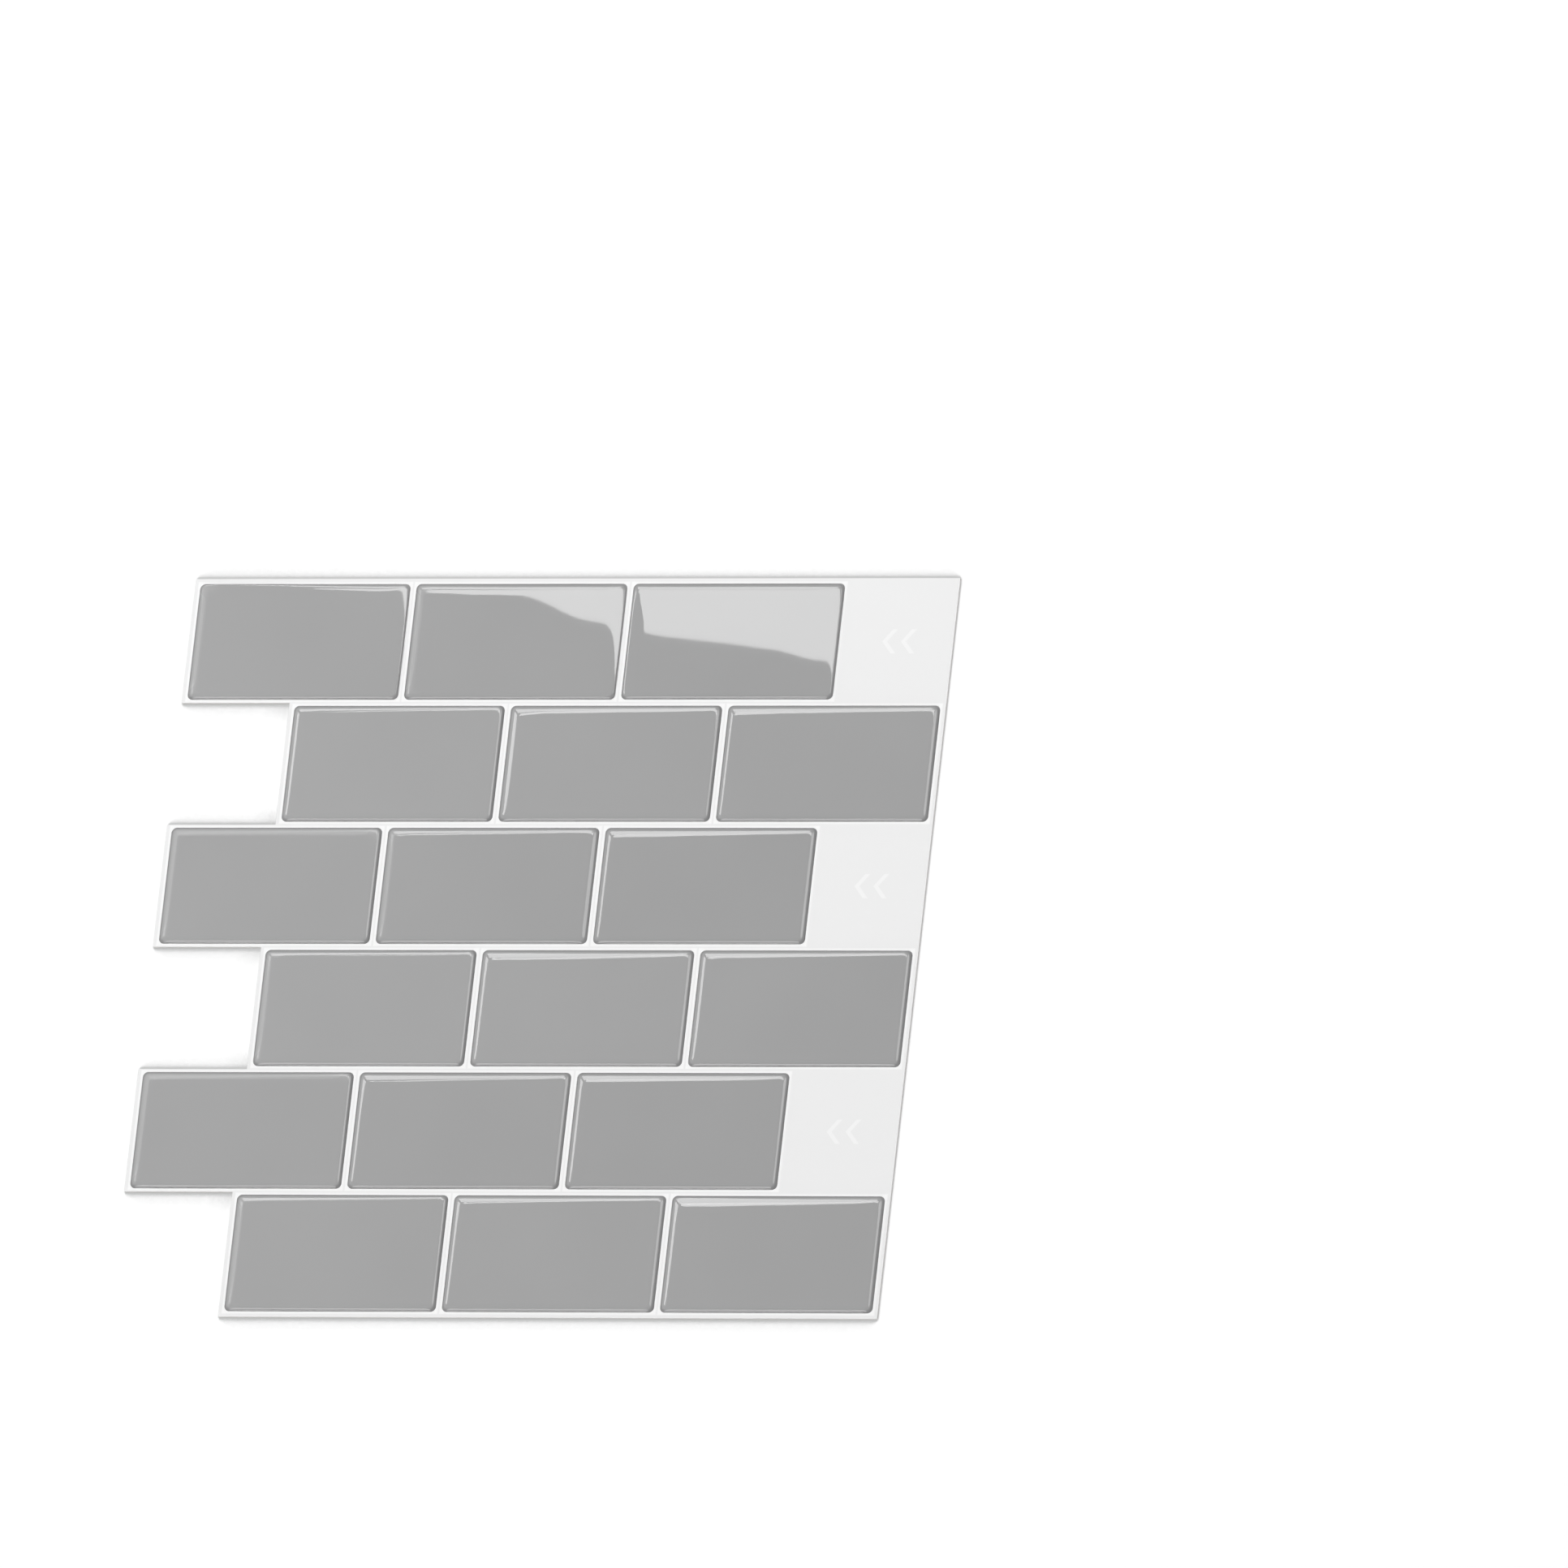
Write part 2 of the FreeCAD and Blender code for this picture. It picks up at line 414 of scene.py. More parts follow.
class GelForm:
    """The shape of one cast tile, in metres from its middle and from the film's face."""

    # The mesh has loops at these insets from the outline, round a core that is a plain grid.
    CORE = 6 * MM
    RINGS = np.array([*np.arange(0, 2.4, 0.15), 2.4, 2.65, 3.0, 3.5, 4.2, 5.1, 6.0]) * MM
    ARC_STEPS = 6  # for half a corner
    ARC_SPAN = 2.4 * MM  # how much of the core's side belongs to half a corner
    LONG_STEPS, SHORT_STEPS = 60, 34
    RIDGE_REACH = 8 * MM  # as far in as this, the ridges that run in from the corners are smoothed
    RIM_BLEND = 0.4 * MM  # over which the smoothed inset is brought back to 0 at the outline

    # How far in the gel rounds over at each tile's sides, row by row, in millimetres.
    LEFT_RUNS = (
        (2.8, 2.8, 1.3),
        (3.3, 4.3, 3.0),
        (3.3, 3.4, 3.3),
        (3.2, 3.3, 3.5),
        (3.3, 3.2, 3.3),
        (3.6, 3.2, 3.4),
    )
    RIGHT_RUNS = (
        (0.35, 0.35, 0.8),
        (1.8, 1.8, 2.2),
        (1.8, 2.8, 2.2),
        (1.8, 2.2, 2.1),
        (1.8, 2.2, 2.1),
        (1.8, 2.3, 2.2),
    )
    UPPER_RUNS = (
        (1.5, 3.25, 3.6),
        (2.3, 2.7, 2.7),
        (2.6, 2.7, 3.25),
        (2.7, 3.8, 2.9),
        (2.7, 3.75, 3.8),
        (2.7, 3.2, 4.5),
    )
    LOWER_SPREAD = (0.94, 1.06)  # by how much the lower edges differ from their setting
    SIDE_BLEND = 3 * MM  # over which one side's edge passes into the next one's
    LOBE_PLACE, LOBE_SIZE = 5.0 * MM, 2.2 * MM  # where the gel pooled at the upper edge, from the left
    SOFT_RUN, LEAST_SOFT = 2.5 * MM, 0.15  # narrower edges run out less softly, down to that share
    # Slow unevenness along the edge: its waves over a tile, and what it does to run and shoulder.
    EDGE_WAVES, RUN_WAVE = (2.3, 1.7), 0.04
    SHOULDER_FADE, SHOULDER_WAVE = 0.5, 0.4

    # The ripples in the top: how many half waves cross a tile. The last three are finer.
    RIPPLE_RANGE = (1.0, 3.0)
    RIPPLE_FACTORS = np.array([[1.0], [1.0], [1.0], [2.2], [2.2], [2.2]])
    # The lean of the top is given in thousandths at this many places from left to right. In the lower
    # rows it wanders at random, by no more than this from one place to the next.
    LEAN_UNIT, LEAN_PLACES, LEAN_WANDER = 0.001, 7, 0.4

    # Which left and upper edges cured hazy, row by row, and where the haze ends.
    HAZY_LEFT = (1, 1, 0), (0, 0, 0), (1, 1, 0), (1, 0, 0), (1, 0, 0), (1, 0, 0)
    HAZY_UPPER = (0, 0, 0), (0, 0, 0), (1, 0, 0), (0, 0, 0), (1, 0, 0), (0, 0, 0)
    HAZE_END = (2.6 * MM, 4.0 * MM)
    FOOT = (0.3 * MM, 1.15 * MM)  # where the painted shade at the base of an edge passes into the print
    BATCH_SPREAD = 0.04  # how much lighter or darker one tile's print is than the next one's

    # The first row's tiles lay unevenly while they cured, as their reflections show.
    # Left end: how steeply and how far in the gel has sunk, and how much farther in lower down.
    NOT_SUNK = (0.0, 1 * MM, 0.0)
    LEFT_SINK = {1: NOT_SUNK, 2: (0.016, 5.0 * MM, 0.0), 3: (0.035, 2.2 * MM, 4.9 * MM)}
    SINK_LEVEL = 0.2  # above this height, as a share of half a tile, the sunk part keeps its width
    SINK_POWER = 1.25  # 1 is a straight slope down to the end, more starts it more gently
    # Right end: how steeply it leans back there, over what length, and how much of the painted shade at the
    # base of its edge is taken off.
    RIGHT_LEAN, RIGHT_LEAN_REACH = (0.003, 0.007, 0.0035), 1.7 * MM
    RIGHT_CLEAR_OF_SHADE = (1.0, 1.0, 0.5)
    # How much narrower the upper edge gets to the right, and how the top leans back from left to right.
    FIRST_ROW_SLANT = (-0.85, -0.1, 0.0)
    FIRST_ROW_LEAN = {
        1: (-0.4, -0.4, -0.6, -1.0, -1.38, -1.62, -1.4),
        2: (-2.9, -2.31, -2.47, -2.62, -1.52, -0.32, -0.38),
        3: (-1.7, 0.27, 0.18, 0.23, 0.27, 0.60, -1.0),
    }

    def __init__(self, settings, size, row, column):
        self.settings = settings
        self.size = size
        place = row - 1, column - 1
        random = np.random.default_rng(10 * row + column)
        self.phases = random.uniform(0, 2 * np.pi, (6, 2))
        self.ripples = random.uniform(*self.RIPPLE_RANGE, (6, 2)) * self.RIPPLE_FACTORS
        tables = self.LEFT_RUNS, self.RIGHT_RUNS, self.UPPER_RUNS
        left, right, upper = (np.array(table)[place] * MM for table in tables)
        lower = settings.lower_run * random.uniform(*self.LOWER_SPREAD)
        self.runs = np.array([left, lower, right, upper])
        self.haze = np.array([np.array(self.HAZY_LEFT)[place], 0, 0, np.array(self.HAZY_UPPER)[place]])
        self.lean = np.cumsum(random.uniform(-self.LEAN_WANDER, self.LEAN_WANDER, self.LEAN_PLACES))
        # Every second row is lighter, a painted reflection, and each tile's own tone differs at random.
        self.batch_and_painted_sheen = settings.batch_and_painted_sheen * (1 - row % 2) + random.uniform(-self.BATCH_SPREAD, self.BATCH_SPREAD)
        self.slant, self.lobe = settings.slant, settings.lobe
        self.left_sink, self.right_lean, self.right_clear_of_shade = self.NOT_SUNK, 0.0, 0.0
        if row == 1:
            self.slant, self.lobe = self.FIRST_ROW_SLANT[column - 1], 0.0
            self.left_sink = self.LEFT_SINK[column]
            self.right_lean, self.right_clear_of_shade = self.RIGHT_LEAN[column - 1], self.RIGHT_CLEAR_OF_SHADE[column - 1]
            self.lean = np.array(self.FIRST_ROW_LEAN[column])

    def outline_side(self, length, width, steps):
        """The lower side of the outline: half a corner, a straight, half a corner."""
        r = self.settings.corner
        turn = np.linspace(math.pi / 4, math.pi / 2, self.ARC_STEPS + 1)
        start = r - r * np.column_stack([np.cos(turn), np.sin(turn)])
        middle = np.linspace(r, length - r, steps - 2 * self.ARC_STEPS + 1)[1:-1]
        straight = np.column_stack([middle, np.zeros_like(middle)])
        end = np.column_stack([length - start[::-1, 0], start[::-1, 1]])
        return np.vstack([start, straight, end]) - [length / 2, width / 2]

    def core_side(self, length, width, steps):
        """The lower side of the core, with as many steps as the outline's."""
        near = np.linspace(0, self.ARC_SPAN, self.ARC_STEPS + 1)
        middle = np.linspace(self.ARC_SPAN, length - self.ARC_SPAN, steps - 2 * self.ARC_STEPS + 1)[1:-1]
        along = np.concatenate([near, middle, length - near[::-1]])
        return np.column_stack([along, np.zeros_like(along)]) - [length / 2, width / 2]

    def loop(self, side, length, width):
        """Four sides as one closed loop of points, without the repeated corners."""
        quarter = np.array([[0, 1], [-1, 0]])
        points = []
        for k in range(4):
            along, across = (width, length) if k % 2 else (length, width)
            steps = self.SHORT_STEPS if k % 2 else self.LONG_STEPS
            points.append(side(along, across, steps)[:-1] @ np.linalg.matrix_power(quarter, k))
        return np.vstack(points)

    def inset(self, xy):
        """Distance in from the outline, with the ridges of its corners smoothed away."""
        reach = self.RIDGE_REACH
        corner_gap = self.settings.corner * (1 - math.sqrt(0.5))
        power = -math.log(2) / math.log(1 - corner_gap / reach)
        gap = self.size[:2] / 2 - np.abs(xy)
        short = np.clip(reach - gap, 0, None) / reach
        return reach * (1 - (short**power).sum(-1) ** (1 / power))

    def top(self, x, y):
        """The nearly flat top: a faint crown, slow waves and the way that the tile leans."""
        s = self.settings
        waves = sum(
            np.sin(np.pi * x * lx / 2 + px) * np.cos(np.pi * y * ly / 4 + py) / (lx + ly)
            for (px, py), (lx, ly) in zip(self.phases, self.ripples)
        )
        places = np.linspace(-1, 1, self.LEAN_PLACES)
        curve = np.polynomial.polynomial.polyfit(places, self.lean, self.LEAN_PLACES - 1)
        lean = np.polynomial.polynomial.polyval(x, curve) * self.LEAN_UNIT
        return s.crown * (1 - x**2) * (1 - y**2) + s.ripple * waves - lean * y * self.size[1] / 2

    def sides(self, xy):
        """Gaps to the left, lower, right and upper side, and how much each side counts at a point."""
        half = self.size[:2] / 2
        gaps = np.column_stack([half + xy, half - xy])
        near = np.exp(-gaps / self.SIDE_BLEND)
        return gaps, near / near.sum(1, keepdims=True)

    def run(self, xy):
        """Width of the round edge: each side has its own, and they blend round the corners."""
        gaps, near = self.sides(xy)
        runs = np.tile(self.runs, (len(xy), 1))
        lobe = np.exp(-(((gaps[:, 0] - self.LOBE_PLACE) / self.LOBE_SIZE) ** 2))
        runs[:, 3] *= 1 - self.slant * xy[:, 0] * 2 / self.size[0] + self.lobe * lobe
        return (near * runs).sum(1)

    def sunk(self, gaps, y):
        """How far the gel has sunk at a tile's left and right ends."""
        steep, reach, growth = self.left_sink
        reach = reach + growth * (1 - np.maximum(y, self.SINK_LEVEL))
        left = steep * reach * np.clip(1 - gaps[:, 0] / reach, 0, None) ** self.SINK_POWER
        return left + self.right_lean * gaps[:, 1] * np.exp(-gaps[:, 2] / self.RIGHT_LEAN_REACH)

    def looks(self, xy, inset):
        """What the gel's material reads at each point: how clear of painted shade the base of the edge is,
        haze, and the row's painted reflection with the tile's own tone.
        """
        near = self.sides(xy)[1]
        # Painted shade along the base of each edge; a first-row tile's right end is kept clear of it.
        share = passed(inset, *self.FOOT)
        clear_of_painted_shade = np.maximum(share * share * (3 - 2 * share), near[:, 2] * self.right_clear_of_shade)
        haze = (near * self.haze).sum(1) * (1 - passed(inset, *self.HAZE_END))
        return {"clear_of_painted_shade": clear_of_painted_shade, "haze": haze, "batch_and_painted_sheen": np.full(len(inset), self.batch_and_painted_sheen)}

    def arc(self, run, inset):
        """How far a round edge lies below the top, with a soft end instead of a sharp one."""
        soft = self.settings.softness * np.clip(run / self.SOFT_RUN, self.LEAST_SOFT, 1)
        height = self.size[2]
        bend = (run**2 + height**2) / (2 * height)
        reach = np.minimum(soft * np.log1p(np.exp((run - inset) / soft)), bend)
        return (bend - np.sqrt(bend**2 - reach**2)) / height

    def rise(self, xy, inset):
        """Height of the gel: a round edge, a slow shoulder, then the top."""
        s = self.settings
        x, y = xy[:, 0] * 2 / self.size[0], xy[:, 1] * 2 / self.size[1]
        across, up = self.EDGE_WAVES
        wave = np.sin(across * x + self.phases[0, 0]) * np.cos(up * y + self.phases[0, 1])
        run = self.run(xy) * (1 + self.RUN_WAVE * wave)
        share = s.shoulder_share * (1 - self.SHOULDER_FADE * x + self.SHOULDER_WAVE * wave)
        fall = (1 - share) * self.arc(run, inset) / self.arc(run, 0) + share * np.exp(-inset / s.shoulder)
        top = self.top(x, y)
        top = top - top.max() - self.sunk(self.sides(xy)[0], y)
        return (self.size[2] + top) * (1 - fall)

    def build(self, name, centre, base):
        """The mesh: loops from the outline in to the core, a grid over the core, and a flat back."""
        length, width = self.size[0], self.size[1]
        core = [length - 2 * self.CORE, width - 2 * self.CORE]
        outer, inner = self.loop(self.outline_side, length, width), self.loop(self.core_side, *core)
        count = len(outer)
        loops = [outer + (inner - outer) * share for share in self.RINGS / self.CORE]
        xs = self.core_side(*core, self.LONG_STEPS)[1:-1, 0]
        ys = self.core_side(*core[::-1], self.SHORT_STEPS)[1:-1, 0]
        grid = np.stack(np.meshgrid(xs, ys, indexing="ij"), -1).reshape(-1, 2)
        flat = np.vstack([*loops, grid])
        inset = self.inset(flat)
        error = np.concatenate([np.tile(inset[:count], len(loops)), np.zeros(len(grid))])
        inset = np.clip(inset - error * np.exp(-inset / self.RIM_BLEND), 0, None)
        rise = self.rise(flat, inset)
        rise[:count] = 0

        faces = []
        for k in range(len(loops) - 1):
            for j in range(count):
                a, b = k * count + j, k * count + (j + 1) % count
                faces.append((a, b, b + count, a + count))
        lookup = self.core_lookup(count)
        for i in range(self.LONG_STEPS):
            for j in range(self.SHORT_STEPS):
                corners = ((i, j), (i + 1, j), (i + 1, j + 1), (i, j + 1))
                faces.append(tuple(lookup[corner] for corner in corners))
        faces.append(tuple(range(count))[::-1])

        mesh = bpy.data.meshes.new(name)
        points = np.column_stack([flat + centre[:2], base + rise])
        mesh.from_pydata(points.tolist(), [], faces)
        smooth = np.ones(len(faces), bool)
        smooth[-1] = False
        mesh.polygons.foreach_set("use_smooth", smooth)
        for look, values in self.looks(flat, inset).items():
            attribute = mesh.attributes.new(look, "FLOAT", "POINT")
            attribute.data.foreach_set("value", values.astype(np.float32))
        mesh.validate()
        return mesh

    def core_lookup(self, count):
        """Vertex numbers of the core's grid: its border is the last loop, its inside follows the loops."""
        n, m = self.LONG_STEPS, self.SHORT_STEPS
        last, first_inside = (len(self.RINGS) - 1) * count, len(self.RINGS) * count
        lookup = {}
        for i in range(n + 1):
            lookup[i, 0] = last + i % count
            lookup[i, m] = last + n + m + (n - i)
        for j in range(m + 1):
            lookup[n, j] = last + n + j
            lookup[0, j] = last + (2 * n + m + (m - j)) % count
        for i in range(1, n):
            for j in range(1, m):
                lookup[i, j] = first_inside + (i - 1) * (m - 1) + (j - 1)
        return lookup


# How the gel looks: the print's middle tone, clouds and grain, the painted shade at the base of its edges, and
# smears on the skin.
PRINT_MIDDLE, PRINT_CLOUDS, PRINT_GRAIN = 0.45, 0.7, 0.1
PRINT_TONES = (0.94, 1.06)
FOOT_SHADE = 0.68
SKIN_SMEARS = 0.008


def gel_material(settings):
    """Clear glossy gel over an even grey print, with painted shade where the steep base of the edge hides the
    light.
    """
    material = bpy.data.materials.new("grey_gel")
    graph = Graph(material)
    cloud = graph.noise(60 * MM)
    grain = graph.noise(0.35 * MM, 3.0, 0.6)
    smear = graph.noise(9 * MM, 3.0, 0.6)
    x, _, _ = graph.place()
    # The grey darkens from left to right and is lighter on every second row: painted reflection.
    tone = PRINT_MIDDLE + graph.attribute("batch_and_painted_sheen") - x * settings.fade
    tone = tone + (cloud - 0.5) * PRINT_CLOUDS + (grain - 0.5) * PRINT_GRAIN
    printed = graph.tones(tone, settings.colour, PRINT_TONES)
    haze = graph.attribute("haze") * settings.haze
    graph.surface(
        {
            # Painted shade: the grey is darkened at the steep base of each edge.
            "Base Color": graph.mix(graph.attribute("clear_of_painted_shade"), shade_of(settings.colour, FOOT_SHADE), printed),
            "Roughness": settings.roughness + (smear - 0.5) * SKIN_SMEARS + haze,
            "IOR": 1.5,
            "Normal": graph.bump(graph.noise(10 * MM, 1.0), 0.0005 * MM),
        }
    )
    return material


# How the film looks: where the painted light beside the gel ends, and how much of each thing shows.
BESIDE_END = (0.45 * MM, 1.2 * MM)
BESIDE_SHARE, MARK_SHARE, FILM_CLOUDS = 0.9, 0.5, 0.08
MATT_GRAIN = 0.12
# A chevron: how far its arms slope back, where its stroke ends as a share of the stroke's setting, and
# where its arms end as a share of half the mark's length.
CHEVRON_SLOPE = 0.8
STROKE_END = (0.55, 0.75)
ARM_END = (0.62, 0.66)


def chevrons(settings, x, rise):
    """1 on a pair of chevrons. x is measured from their middle, rise up or down from it."""
    reach = settings.mark_length / 2
    ends = [settings.mark_stroke * share for share in STROKE_END]
    pair = []
    for offset in (-reach / 2, reach / 2):
        off_line = abs(x - offset + reach / 4 - rise * CHEVRON_SLOPE)
        arms = 1.0 - rise.ramp(*(reach * share for share in ARM_END))
        pair.append((1.0 - off_line.ramp(*ends)) * arms)
    return pair[0].most(pair[1])


def film_material(settings):
    """Matt white film with painted light beside the gel, and a pair of chevrons printed on each bare tab."""
    material = bpy.data.materials.new("white_film")
    graph = Graph(material)
    x, y, _ = graph.place()
    step = ((y - LAST_ROW_LOW + JOINT / 2) / PITCH_Y).floor().most(0.0).least(ROWS - 1.0)
    shifted = 1.0 - step % 2.0
    left = FIRST_LOW.x + shifted * SHIFT
    brick = ((x - left + JOINT / 2) / PITCH_X).floor().most(0.0).least(COLUMNS - 1.0)
    across = abs(x - left - brick * PITCH_X - TILE.x / 2) - TILE.x / 2
    rise = abs(y - LAST_ROW_LOW - step * PITCH_Y - TILE.y / 2)
    gap = across.most(rise - TILE.y / 2)
    # Painted light: the film is brighter beside the gel.
    beside = 1.0 - gap.ramp(*BESIDE_END)
    mark = chevrons(settings, x - (FILM_HIGH.x - SHIFT / 2), rise) * (1.0 - shifted)
    cloud = graph.noise(25 * MM)
    white = (beside * BESIDE_SHARE + mark * MARK_SHARE + (cloud - 0.5) * FILM_CLOUDS).least(1.0)
    grain = graph.noise(0.22 * MM, 2.0, 0.6)
    graph.surface(
        {
            "Base Color": graph.mix(white, (*settings.colour, 1.0), (*settings.painted_light_and_mark_colour, 1.0)),
            "Roughness": settings.roughness + (grain - 0.5) * MATT_GRAIN,
            "IOR": 1.45,
            "Normal": graph.bump(grain, 0.004 * MM),
        }
    )
    return material


# How the backing looks: the tones of each colour, and how rough each skin is with what its pattern adds.
ADHESIVE_TONES, ADHESIVE_SKIN, ADHESIVE_CLOUDS = (0.93, 1.05), 0.22, 0.12
LINER_TONES, LINER_SKIN, LINER_FIBRES = (0.93, 1.06), 0.38, 0.14
FIBRE_SHARE = 0.4  # of the paper's tone, and the clouds have the rest


def adhesive_material(settings):
    """Clear, slightly cloudy adhesive, as it shows at the cut edge."""
    material = bpy.data.materials.new("clear_adhesive")
    graph = Graph(material)
    cloud = graph.noise(3 * MM, 3.0)
    graph.surface(
        {
            "Base Color": graph.tones(cloud, settings.adhesive_colour, ADHESIVE_TONES),
            "Roughness": ADHESIVE_SKIN + cloud * ADHESIVE_CLOUDS,
            "IOR": 1.47,
            "Normal": graph.bump(cloud, 0.01 * MM),
        }
    )
    return material


def liner_material(settings):
    """Release paper: faint fibres and cloudy formation under a smooth coating."""
    material = bpy.data.materials.new("release_paper")
    graph = Graph(material)
    cloud = graph.noise(7 * MM, 4.0, 0.6)
    fibre = graph.noise(0.5 * MM, 3.0, 0.6, stretch=(1.0, 0.22, 1.0))
    tone = cloud * (1 - FIBRE_SHARE) + fibre * FIBRE_SHARE
    graph.surface(
        {
            "Base Color": graph.tones(tone, settings.liner_colour, LINER_TONES),
            "Roughness": LINER_SKIN + fibre * LINER_FIBRES,
            "IOR": 1.45,
            "Normal": graph.bump(fibre, 0.012 * MM),
        }
    )
    return material


class CastGelTiles(bpy.types.Operator):
    """Cast a gel tile with its round edge in place of each gel node of the frame"""

    bl_idname = "tilesheet.cast_gel_tiles"
    bl_label = "Cast gel tiles"

    def execute(self, context):
        settings = context.scene.tile_gel
        material = gel_material(settings)
        for node in GEL_NODES:
            low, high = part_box(node)
            name = node.replace(GEL_PREFIX, "gel_dome_")
            form = GelForm(settings, np.array(high - low), *row_and_column(node))
            mesh = form.build(name, np.array((low + high) / 2), low.z)
            dome = bpy.data.objects.new(name, mesh)
            context.collection.objects.link(dome)
            paint(dome, material)
            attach(dome, BODY)
            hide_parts(node)
        return {"FINISHED"}


class FinishFilm(bpy.types.Operator):
    """Print the white film with its joints and tab marks"""

    bl_idname = "tilesheet.finish_film"
    bl_label = "Finish film"

    def execute(self, context):
        paint(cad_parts[FILM], film_material(context.scene.tile_film))
        return {"FINISHED"}


class FinishBacking(bpy.types.Operator):
    """Give the adhesive and the paper liner behind it their materials"""

    bl_idname = "tilesheet.finish_backing"
    bl_label = "Finish backing"

    def execute(self, context):
        settings = context.scene.tile_backing
        paint(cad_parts[ADHESIVE], adhesive_material(settings))
        paint(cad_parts[LINER], liner_material(settings))
        return {"FINISHED"}


def leaning_view(lean):
    """Right, up and back of a camera that sees rows level and upright edges leaning that much."""
    square = 2 + lean**2
    level = (square - math.sqrt(square**2 - 4)) / 2
    shrink = math.sqrt(level)
    up = Vector((0, shrink, math.sqrt(1 - level)))
    right = Vector((shrink, shrink * lean, -level * lean / up.z))
    return right, up, right.cross(up), shrink


def add_softbox(name, size, radiance):
    """An area light of that radiance, in the units in which a lit white surface is 1."""
    light = bpy.data.lights.new(name, "AREA")
    light.shape = "RECTANGLE"
    light.size, light.size_y = size
    light.energy = radiance * math.pi * size[0] * size[1]
    lamp = bpy.data.objects.new(name, light)
    bpy.context.collection.objects.link(lamp)
    lamp.visible_camera = False
    return lamp


def stand_off(lamp, azimuth, elevation, distance):
    """Put a lamp in that direction from the sheet, facing it. Angles are in degrees."""
    swing = Matrix.Rotation(math.radians(azimuth + 90), 4, "Z")
    tip = Matrix.Rotation(math.radians(90 - elevation), 4, "X")
    lamp.matrix_world = swing @ tip @ Matrix.Translation((0, 0, distance))


